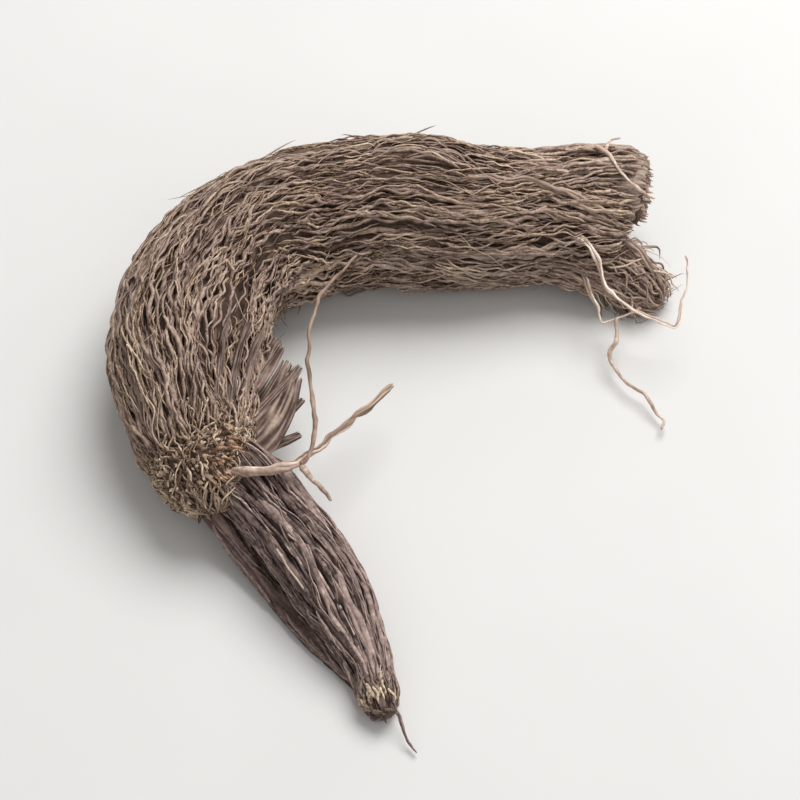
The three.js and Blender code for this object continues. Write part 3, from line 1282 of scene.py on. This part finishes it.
@dataclass
class ShootEnd(Assembly):
    """The blunt bud at the end of the hook's long arm, and the bundle that frays below it."""

    bud_line: tuple[Station, ...] = stations(
        (9.0, 22.4, 3.0, 3.9), (12.0, 22.8, 3.4, 3.9), (15.5, 23.2, 3.8, 3.8), (18.8, 23.3, 4.0, 3.7),
        (21.5, 23.1, 4.0, 3.7),
    )
    bundle_line: tuple[Station, ...] = stations(
        (8.0, 19.8, 1.6, 3.4), (14.0, 18.9, 1.3, 3.2), (18.0, 17.9, 0.8, 2.9), (21.4, 16.6, 0.2, 2.2),
        (24.0, 14.8, 0.0, 1.2),
    )
    felt: Ridges = Ridges(depth=0.0005, width=0.0009, length=0.003, girth=0.0036, seed=4.0, inset=0.0005)
    cut_ends: StubCoat = StubCoat(
        spacing=0.0003, length=0.00035, thickness=0.00013, bend=1.4, beyond=Vector((1, 0, 0)),
    )
    scale_length: float = 3.4  # millimetres
    scale_reach: float = 0.6  # millimetres
    scale_start: float = -0.3
    scale_end: float = 2.9
    stout_cord: Wire = Wire(
        (
            (6.0, 20.6, 12.0), (10.0, 20.5, 11.8), (14.0, 20.0, 11.2), (17.4, 19.1, 9.6), (20.2, 18.0, 6.8),
            (22.6, 16.8, 4.2), (24.3, 15.6, 1.6),
        ),
        thick=0.26, thin=0.36, tone=0.4, fade=0.06, plies=3, seed=12,
    )
    bud: StrandLay = StrandLay(
        count=520, points=14, sides=3, seed=51, length=0.005, thickness=0.00013, lift=0.0002, depth=0.0004,
        crossing=0.16, net_width=0.0004, net_pitch=0.0016, ripple=0.0003, tuck=0.0004, ragged=0.0005,
        tone=0.52, tone_spread=0.25,
    )
    bundle: StrandLay = StrandLay(
        count=460, points=22, sides=3, seed=61, length=0.008, thickness=0.00014, depth=0.0005, crossing=0.2,
        net_width=0.0005, net_pitch=0.0018, ripple=0.00035, ragged=0.004, splay=0.0009, tone=0.5,
        tone_spread=0.25,
    )
    fringe: StrandLay = StrandLay(
        count=230, points=22, sides=3, seed=67, length=0.0055, thickness=0.00009, first=0.5, crossing=0.8,
        net_width=0.0018, net_pitch=0.0019, ragged=0.002, splay=0.003, flyaway=0.001, tone=0.6,
    )

    def build(self) -> None:
        """Make the bud, its papery scale and the frayed bundle."""
        fibre = bpy.data.materials[SHEATH_FIBRE.name]
        felt = bpy.data.materials[UNDER_FELT_GAP_SHADE.name]
        bud = GuideLine.lying(self.bud_line)
        core = self.keep(skin("bud_core", bud, 60, 40, self.felt.height, (0.3, 0.2), felt))
        self.lay("bud_fibres", bud, self.bud, fibre)
        bundle = GuideLine.lying(self.bundle_line)
        inner = GuideLine.lying(self.bundle_line[:-1])
        self.keep(skin("frayed_bundle_core", inner, 60, 40, self.felt.height, (0.3, 0.5), felt))
        self.lay("frayed_bundle_fibres", bundle, self.bundle, fibre)
        self.lay("frayed_bundle_fringe", bundle, self.fringe, fibre)
        self.draw("stout_cord", [self.stout_cord], fibre)
        self.keep(sheet("bud_scale", 26, 150, partial(self._scale_spot, bud), PAPERY_SCALE.material()))
        self.cover("bud_cut_ends", core, replace(self.cut_ends, edge=bud.points[-1]), fibre)

    def _scale_spot(self, bud: GuideLine, along: float, across: float, face: int) -> tuple[Vector, float]:
        """Return a place on the scale that wraps the bud's end, and its paleness: painted light on ribs and
        folds, and its pale rim.
        """
        shape = noise.noise(Vector((across * 3.0, 1.7, 0.3)))
        shape += 0.5 * noise.noise(Vector((across * 27.0, 4.7, 2.3)))
        onward = along * (self.scale_length + shape * 0.9) - self.scale_length + self.scale_reach
        reach = bud.length + onward * MM
        centre, tangent, girth = bud.at(min(reach, bud.length))
        centre = centre + tangent * max(0.0, reach - bud.length)
        turn = self.scale_start + (self.scale_end - self.scale_start) * across
        crumple = noise.noise(Vector((across * 7.0, along * 2.0, 5.0)))
        rib = noise.noise(Vector((across * 58.0, along * 1.4, 8.0)))
        rise = 0.25 * crumple + 0.08 * rib - 0.6 * along**8 + face * 0.05
        out = girth * (0.82 + 0.11 * along) + rise * MM
        # Painted light on the raised ribs and folds, painted shade in the creases, and paler towards the
        # rim.
        fold_light_and_pale_rim = min(1.0, 0.42 + 0.7 * rib + 0.2 * crumple + 0.25 * along**6)
        return centre + around(tangent, turn) * out, fold_light_and_pale_rim


@dataclass
class Crown(Assembly):
    """The grainy knob where the sheath ends."""

    centre: Vector = Vector((-16.2, -5.9, 5.2))
    radius: float = 4.5
    sheath_side: Vector = Vector((-17.2, -1.0, 5.6))
    line: tuple[Station, ...] = stations(
        (-17.2, -1.6, 0.9, 4.9), (-16.9, -3.4, 1.0, 4.6), (-16.5, -5.2, 0.9, 4.5), (-16.0, -7.0, 1.2, 4.1),
        (-15.7, -8.4, 1.7, 3.3), (-15.5, -9.4, 2.4, 2.3), (-15.4, -9.9, 3.4, 1.0),
    )
    core_inset: float = 0.5  # millimetres, how far the grains stand out of it
    grain_gap_shade: float = 0.3  # the Height given to the knob's skin, a painted shade that keeps it dark between the grains
    lump_pitch: float = 420.0  # in noise steps a metre
    lump_rise: float = 0.09  # as a share of the radius
    rust_side: Vector = Vector((0.86, -0.38, 0.34))
    curls: StrandLay = StrandLay(
        count=760, points=13, sides=3, seed=91, length=0.0019, length_spread=0.5, ragged=0.0004,
        thickness=0.0001, lift=0.00012, depth=0.0003, crossing=1.1, net_width=0.001, net_pitch=0.0011,
        flow_width=0.0004, ripple=0.0006, tuck=0.0006, tone=0.6, tone_spread=0.35,
    )
    felt: bpy.types.Object | None = None

    def build(self) -> None:
        """Make the dark knob, the grains that stand on it and the net of curls over them."""
        knob = self.keep(self._knob())
        centre = self.centre * MM
        outward = (self.centre - self.sheath_side).normalized()
        finish = KNOB_GRAIN.material()
        grains = StubCoat(
            spacing=0.0003, length=0.0005, thickness=0.00015, bend=0.6, lean=outward * 0.25,
            edge=centre - outward * 0.0016, beyond=outward, tone=0.42, seed=5,
        )
        self.cover("knob_grains", knob, grains, finish)
        self.lay("knob_curls", GuideLine.lying(self.line), self.curls, finish)
        rust = replace(
            grains, edge=centre + self.rust_side * 0.0022, beyond=self.rust_side, length=0.0006, seed=8,
        )
        self.cover("knob_rust", knob, rust, RUST_GRAIN.material())
        collar = replace(
            grains, spacing=0.0007, length=0.0009, lean=outward, edge=centre - outward * 0.0036, seed=7,
        )
        self.cover("knob_collar", self.felt, collar, finish)

    def _knob(self) -> bpy.types.Object:
        """Return the lumpy knob."""
        shape = bmesh.new()
        bmesh.ops.create_icosphere(shape, subdivisions=5, radius=(self.radius - self.core_inset) * MM)
        for vertex in shape.verts:
            lump = noise.noise(vertex.co * self.lump_pitch)
            vertex.co = vertex.co * (1 + self.lump_rise * lump) + self.centre * MM
            vertex.co.z = max(vertex.co.z, 0.0)
        mesh = bpy.data.meshes.new("knob_core")
        shape.to_mesh(mesh)
        shape.free()
        felt = bpy.data.materials[UNDER_FELT_GAP_SHADE.name]
        return dressed("knob_core", mesh, felt, [self.grain_gap_shade] * len(mesh.vertices))


@dataclass
class Taproot(Assembly):
    """The ridged root that leaves the crown, with its broken tip and its side strand."""

    line: tuple[Station, ...] = stations(
        (-15.0, -5.8, 2.3, 3.3), (-12.4, -7.6, 1.9, 3.2), (-9.8, -10.4, 1.3, 3.1), (-7.4, -13.8, 0.7, 3.2),
        (-5.4, -17.0, 0.4, 3.0), (-3.8, -19.9, 0.2, 2.5), (-2.6, -22.4, 0.0, 2.0), (-1.9, -24.9, 0.0, 1.7),
        (-1.4, -27.2, 0.0, 1.6),
    )
    side_line: tuple[Station, ...] = stations(
        (-15.8, -8.9, 2.6, 1.2), (-13.0, -12.1, 1.0, 1.15), (-10.2, -15.8, 0.1, 1.05),
        (-7.3, -19.6, 0.0, 0.9), (-4.5, -22.8, 0.0, 0.7), (-3.0, -24.6, 0.0, 0.6),
    )
    bark: Ridges = Ridges(
        depth=0.0007, width=0.0012, length=0.006, girth=0.003, twist=9.0, lumps=0.0003, seed=2.0,
        inset=0.0003,
    )
    side_bark: Ridges = Ridges(
        depth=0.0003, width=0.0007, length=0.005, girth=0.001, lumps=0.0002, seed=8.0,
    )
    cords: StrandLay = StrandLay(
        count=150, points=30, sides=5, seed=71, length=0.013, thickness=0.00023, lift=-0.0001, depth=0.0003,
        crossing=0.05, net_width=0.0006, net_pitch=0.004, ripple=0.00022, tuck=0.0004, tone=0.46,
        tone_spread=0.3, tone_rise=0.16,
    )
    tip_curls: StrandLay = StrandLay(
        count=90, points=16, sides=5, seed=95, length=0.003, length_spread=0.6, first=0.87, ragged=0.001,
        thickness=0.00017, lift=-0.00008, depth=0.0003, crossing=0.5, net_width=0.0009, net_pitch=0.0016,
        ripple=0.0004, tuck=0.0006, tone=0.5, tone_spread=0.4,
    )
    tip_tail: Wire = Wire(
        ((-1.0, -25.2, 2.4), (-0.5, -26.8, 1.9), (0.3, -28.4, 1.0), (0.9, -29.8, 0.4), (1.2, -30.6, 0.3)),
        thick=0.24, thin=0.12, tone=0.5, fade=-0.1, plies=2, seed=21,
    )
    crumbs: StubCoat = StubCoat(
        spacing=0.0004, length=0.0005, thickness=0.00018, bend=0.8, tone=0.4, seed=9,
    )
    side_threads: StrandLay = StrandLay(
        count=110, points=26, sides=4, seed=83, length=0.010, thickness=0.00014, lift=-0.00005,
        depth=0.0002, crossing=0.04, net_width=0.0003, net_pitch=0.003, ripple=0.00012, tuck=0.0003,
        tone=0.34, tone_spread=0.25,
    )
    threads: StrandLay = StrandLay(
        count=560, points=14, sides=3, seed=77, length=0.005, thickness=0.00009, lift=0.0001, depth=0.0004,
        crossing=0.12, net_width=0.0005, net_pitch=0.0026, ripple=0.00025, tuck=0.0004, tone=0.56,
        tone_spread=0.3,
    )

    def build(self) -> None:
        """Make the bark, the cords in it, the broken tip and the side strand."""
        bark = TAPROOT_BARK.material()
        guide = GuideLine.lying(self.line)
        root = self.keep(skin("taproot", guide, 110, 120, self.bark.height, (0.5, 0.3), bark))
        fibre = TAPROOT_FIBRE.material()
        self.lay("taproot_cords", guide, self.cords, fibre)
        self.lay("taproot_threads", guide, self.threads, fibre)
        side = GuideLine.lying(self.side_line)
        self.keep(skin("side_strand", side, 40, 90, self.side_bark.height, (0.5, 0.5), bark))
        self.lay("side_strand_threads", side, self.side_threads, fibre)
        pale = TIP_RIM.material()
        self.lay("taproot_tip", guide, self.tip_curls, pale)
        end, onward, _ = guide.at(guide.length)
        self.cover("tip_crumbs", root, replace(self.crumbs, edge=end, beyond=onward), pale)
        self.draw("tip_tail", [self.tip_tail], fibre, sides=6)


@dataclass(frozen=True)
class Ribbon:
    """One flat leaf base: its route and half width in millimetres, and its roll in degrees."""

    route: tuple[Place, ...]
    half_width: float
    roll: float
    seed: float


@dataclass
class LeafBases(Assembly):
    """Flat dry leaf bases that fan out of the neck into the hook."""

    ribbons: tuple[Ribbon, ...] = (
        Ribbon(
            ((-14.9, -2.6, 6.6), (-13.8, 1.0, 7.0), (-12.8, 3.9, 7.3), (-11.9, 6.4, 7.4)), 0.75, 35, 1.0,
        ),
        Ribbon(
            ((-14.4, -3.0, 6.0), (-12.7, 0.5, 6.2), (-11.2, 3.4, 6.4), (-10.1, 5.7, 6.7)), 0.65, 42, 2.0,
        ),
        Ribbon(((-13.9, -3.4, 5.5), (-11.7, -0.3, 5.5), (-9.9, 2.2, 5.6), (-8.5, 4.3, 5.9)), 0.7, 30, 3.0),
        Ribbon(((-13.5, -3.8, 4.9), (-11.0, -1.3, 4.7), (-9.5, 0.1, 4.7), (-8.2, 1.5, 4.8)), 0.6, 48, 4.0),
        Ribbon(
            ((-13.2, -4.3, 4.2), (-10.7, -2.6, 3.8), (-9.5, -1.9, 3.6), (-8.4, -1.2, 3.5)), 0.55, 38, 5.0,
        ),
        Ribbon(((-14.0, -3.0, 3.6), (-12.2, 1.0, 3.2), (-10.8, 4.4, 2.8), (-9.8, 7.4, 2.4)), 0.9, 20, 6.0),
        Ribbon(
            ((-14.6, -2.4, 4.8), (-12.9, 1.8, 4.6), (-11.6, 5.4, 4.3), (-10.6, 8.6, 4.0)), 0.85, 26, 7.0,
        ),
        Ribbon(((-12.8, -4.6, 5.3), (-11.2, -2.4, 5.3), (-9.9, 0.4, 5.3), (-9.0, 3.6, 5.5)), 1.4, 18, 11.0),
        Ribbon(
            ((-13.6, -2.8, 7.7), (-13.0, 0.4, 8.3), (-12.4, 3.2, 8.8), (-11.6, 5.6, 9.2)), 0.42, 52, 8.0,
        ),
        Ribbon(
            ((-14.2, -2.6, 8.9), (-13.8, 0.4, 9.8), (-13.3, 3.0, 10.5), (-12.7, 5.0, 11.1)), 0.38, 40, 9.0,
        ),
        Ribbon(
            ((-15.2, -2.4, 9.9), (-15.0, 0.4, 10.9), (-14.8, 2.8, 11.6), (-14.3, 4.6, 12.1)), 0.36, 22,
            10.0,
        ),
    )
    thickness: float = 0.26
    rows: int = 44
    columns: int = 14

    def build(self) -> None:
        """Make each leaf base as a piece of its own."""
        finish = LEAF_BASE.material()
        for number, ribbon in enumerate(self.ribbons, 1):
            self.keep(self._leaf(f"leaf_base_{number}", ribbon, finish))

    def _leaf(self, name: str, ribbon: Ribbon, finish: bpy.types.Material) -> bpy.types.Object:
        """Return one leaf base: a ribbed strip with a torn tip."""
        guide = GuideLine([Vector((*p, ribbon.half_width)) * MM for p in ribbon.route])
        return sheet(name, self.rows, self.columns, partial(self._spot, guide, ribbon), finish)

    def _spot(
        self, guide: GuideLine, ribbon: Ribbon, along: float, across: float, face: int
    ) -> tuple[Vector, float]:
        """Return a place on a leaf base and how high its rib is there, 0 to 1, which paints shade between
        the ribs.

        Args:
            guide: The leaf base's line.
            ribbon: Its measurements.
            along: From foot to tip, 0 to 1.
            across: From edge to edge, 0 to 1.
            face: 1 on top and -1 below.

        Returns:
            The place and the rib's height.
        """
        torn = 0.2 * noise.noise(Vector((across * 7.0, ribbon.seed, 3.0))) * along**3
        centre, tangent, half = guide.at(guide.length * min(along * (1 + torn), 1.0))
        side = UP.cross(tangent).normalized()
        side = Quaternion(tangent, math.radians(ribbon.roll)) @ side
        up = tangent.cross(side).normalized()
        spread = across * 2 - 1
        place = Vector((spread * 3.4, along * 2.4, ribbon.seed))
        # Painted shade: through the finish, the rib's height makes the ribs paler and the hollows between
        # them darker.
        rib = min(1.0, max(0.0, 0.5 + 1.2 * noise.noise(place * 1.7)))
        narrow = 1 - 0.45 * along**2
        thin = self.thickness * MM * (1 - 0.8 * spread**4) * (1 - 0.5 * along)
        wave = 0.35 * MM * noise.noise(Vector((spread, along * 2.5, ribbon.seed + 9)))
        cup = -0.3 * MM * spread**2
        lift = cup + wave + face * thin * 0.5 + (rib * 0.2 * MM if face > 0 else 0.0)
        return centre + side * spread * half * narrow + up * lift, rib


@dataclass
class Rootlets(Assembly):
    """Wiry pale rootlets at the shoot end and at the crown."""

    shoot_wires: tuple[Wire, ...] = (
        Wire(
            (
                (15.6, 17.4, 8.0), (17.0, 16.3, 7.6), (18.4, 13.3, 6.0), (20.2, 11.2, 5.5),
                (22.4, 10.1, 5.0), (24.2, 9.9, 4.5), (25.0, 11.9, 5.5), (25.6, 14.2, 6.5),
                (25.4, 15.8, 7.0),
            ),
            thick=0.27, tone=0.86, plies=2, seed=2,
        ),
        Wire(
            (
                (15.2, 17.0, 5.4), (16.4, 15.5, 4.4), (17.4, 13.4, 3.5), (17.8, 11.5, 3.0),
                (19.2, 11.8, 3.0), (21.4, 11.7, 4.5),
            ),
            thick=0.26, tone=0.8, plies=2, seed=3,
        ),
        Wire(
            (
                (19.2, 11.6, 3.1), (19.2, 9.9, 2.5), (18.6, 8.8, 2.0), (19.4, 7.2, 1.5), (20.6, 5.5, 1.2),
                (22.0, 3.7, 1.0), (23.1, 2.2, 0.9), (22.7, 1.0, 0.8),
            ),
            thick=0.22, tone=0.62, seed=4,
        ),
        Wire(
            (
                (17.5, 25.0, 11.2), (18.6, 23.9, 11.5), (19.6, 22.1, 11.3), (20.9, 20.9, 10.4),
                (22.8, 21.2, 8.5),
            ),
            thick=0.22, tone=0.7, seed=5,
        ),
        Wire(((18.4, 24.1, 11.4), (19.0, 24.9, 11.7), (19.9, 25.7, 11.6)), thick=0.17, tone=0.66, seed=9),
    )
    crown_wires: tuple[Wire, ...] = (
        Wire(
            (
                (-14.2, -8.0, 7.6), (-12.9, -8.7, 8.3), (-11.2, -8.5, 8.3), (-8.9, -7.6, 8.1),
                (-7.2, -5.6, 7.2), (-4.2, -2.0, 6.0), (-0.6, 3.0, 5.0),
            ),
            thick=0.48, thin=0.22, tone=0.66, plies=5, seed=6,
        ),
        Wire(
            (
                (-8.2, -7.5, 8.0), (-7.4, -6.4, 8.1), (-7.2, -4.0, 8.5), (-7.3, -1.2, 8.9),
                (-7.7, 5.8, 9.0), (-6.0, 11.3, 8.6), (-2.6, 16.0, 8.0), (0.6, 17.6, 8.6),
            ),
            thick=0.22, tone=0.36, seed=7,
        ),
        Wire(
            ((-8.4, -7.6, 8.0), (-6.8, -9.0, 7.2), (-5.6, -10.2, 6.4)), thick=0.26, thin=0.14, tone=0.5,
            seed=11,
        ),
    )

    def build(self) -> None:
        """Make the wires of each end as one piece."""
        finish = ROOTLET_SKIN.material()
        for name, wires in (("shoot_rootlets", self.shoot_wires), ("neck_rootlets", self.crown_wires)):
            self.draw(name, wires, finish)


# ---- Studio --------------------------------------------------------------------------------------


class Lamp(Enum):
    """The studio's soft lamps: direction from the root, size as a share of the distance, and power."""

    KEY = ((0.3, 0.5, 1.0), 0.8, 1.3)
    FILL = ((0.9, -0.4, 0.9), 1.2, 0.22)
    FRONT = ((-0.3, -1.0, 0.8), 1.2, 0.16)


@dataclass
class Studio:
    """The pale ground, the lamps and the camera."""

    centre: Vector
    radius: float
    width: float
    elevation: float = 53.5
    lens: float = 120.0
    margin: float = 1.22
    power: float = 0.72
    sky: float = 0.34
    ground_reach: float = 60.0  # half its side, in radii of the root
    lamp_distance: float = 9.0  # in radii of the root
    lamp_base: float = 0.3  # metres, where a lamp's power is as stated
    clip: tuple[float, float] = (0.05, 60.0)  # nearest and farthest seen, in camera distances

    def build(self) -> None:
        """Make everything that isn't part of the root."""
        self._ground()
        for lamp in Lamp:
            self._lamp(lamp)
        self._sky()
        self._camera()

    def _ground(self) -> None:
        """Lay the ground, well past the camera's view."""
        reach = self.radius * self.ground_reach
        mesh = bpy.data.meshes.new("ground")
        corners = [(-reach, -reach, 0), (reach, -reach, 0), (reach, reach, 0), (-reach, reach, 0)]
        mesh.from_pydata(corners, [], [(0, 1, 2, 3)])
        mesh.materials.append(GROUND.material())
        linked("ground", mesh)

    def _lamp(self, lamp: Lamp) -> None:
        """Hang one soft lamp."""
        direction, size, power = lamp.value
        distance = self.radius * self.lamp_distance
        data = bpy.data.lights.new(lamp.name.lower(), "AREA")
        data.shape = "DISK"
        data.size = distance * size
        data.energy = self.power * power * (distance / self.lamp_base) ** 2
        made = bpy.data.objects.new(lamp.name.lower(), data)
        away = Vector(direction).normalized()
        made.location = self.centre + away * distance
        made.rotation_euler = away.to_track_quat("Z", "Y").to_euler()
        bpy.context.scene.collection.objects.link(made)

    def _sky(self) -> None:
        """Light everything evenly from all round."""
        world = bpy.data.worlds.new("studio")
        world.use_nodes = True
        inputs = world.node_tree.nodes["Background"].inputs
        inputs["Color"].default_value = pigment(255, 254, 252)
        inputs["Strength"].default_value = self.sky
        bpy.context.scene.world = world
        bpy.context.scene.view_settings.view_transform = "Standard"

    def _camera(self) -> None:
        """Aim the camera down at the root."""
        data = bpy.data.cameras.new("camera")
        data.lens = self.lens
        rise = math.radians(self.elevation)
        back = Vector((0, -math.cos(rise), math.sin(rise)))
        distance = self.width * self.margin * data.lens / data.sensor_width
        camera = bpy.data.objects.new("camera", data)
        camera.location = self.centre + back * distance
        camera.rotation_euler = (-back).to_track_quat("-Z", "Y").to_euler()
        data.clip_start, data.clip_end = (distance * share for share in self.clip)
        bpy.context.scene.collection.objects.link(camera)
        bpy.context.scene.camera = camera


def main() -> None:
    """Load the part, dress it and light it."""
    logging.basicConfig(level=logging.INFO, format="%(name)s %(message)s")
    noise.seed_set(KINK_SEED)
    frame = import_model()
    LOG.info("frame nodes: %s", sorted(frame["nodes"]))
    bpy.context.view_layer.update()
    low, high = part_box(ROOT_NODE)
    tools = (StrandTree(), StubTree())
    sheath = Sheath(*tools)
    sheath.build()
    felt = sheath.pieces[0]
    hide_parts(ROOT_NODE)
    crown = Crown(*tools, felt=felt)
    for part in (ShootEnd(*tools), crown, Taproot(*tools), LeafBases(*tools), Rootlets(*tools)):
        part.build()
    size = high - low
    Studio(centre=(low + high) / 2, radius=size.length / 2, width=max(size)).build()
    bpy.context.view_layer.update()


if __name__ == "__main__":
    main()
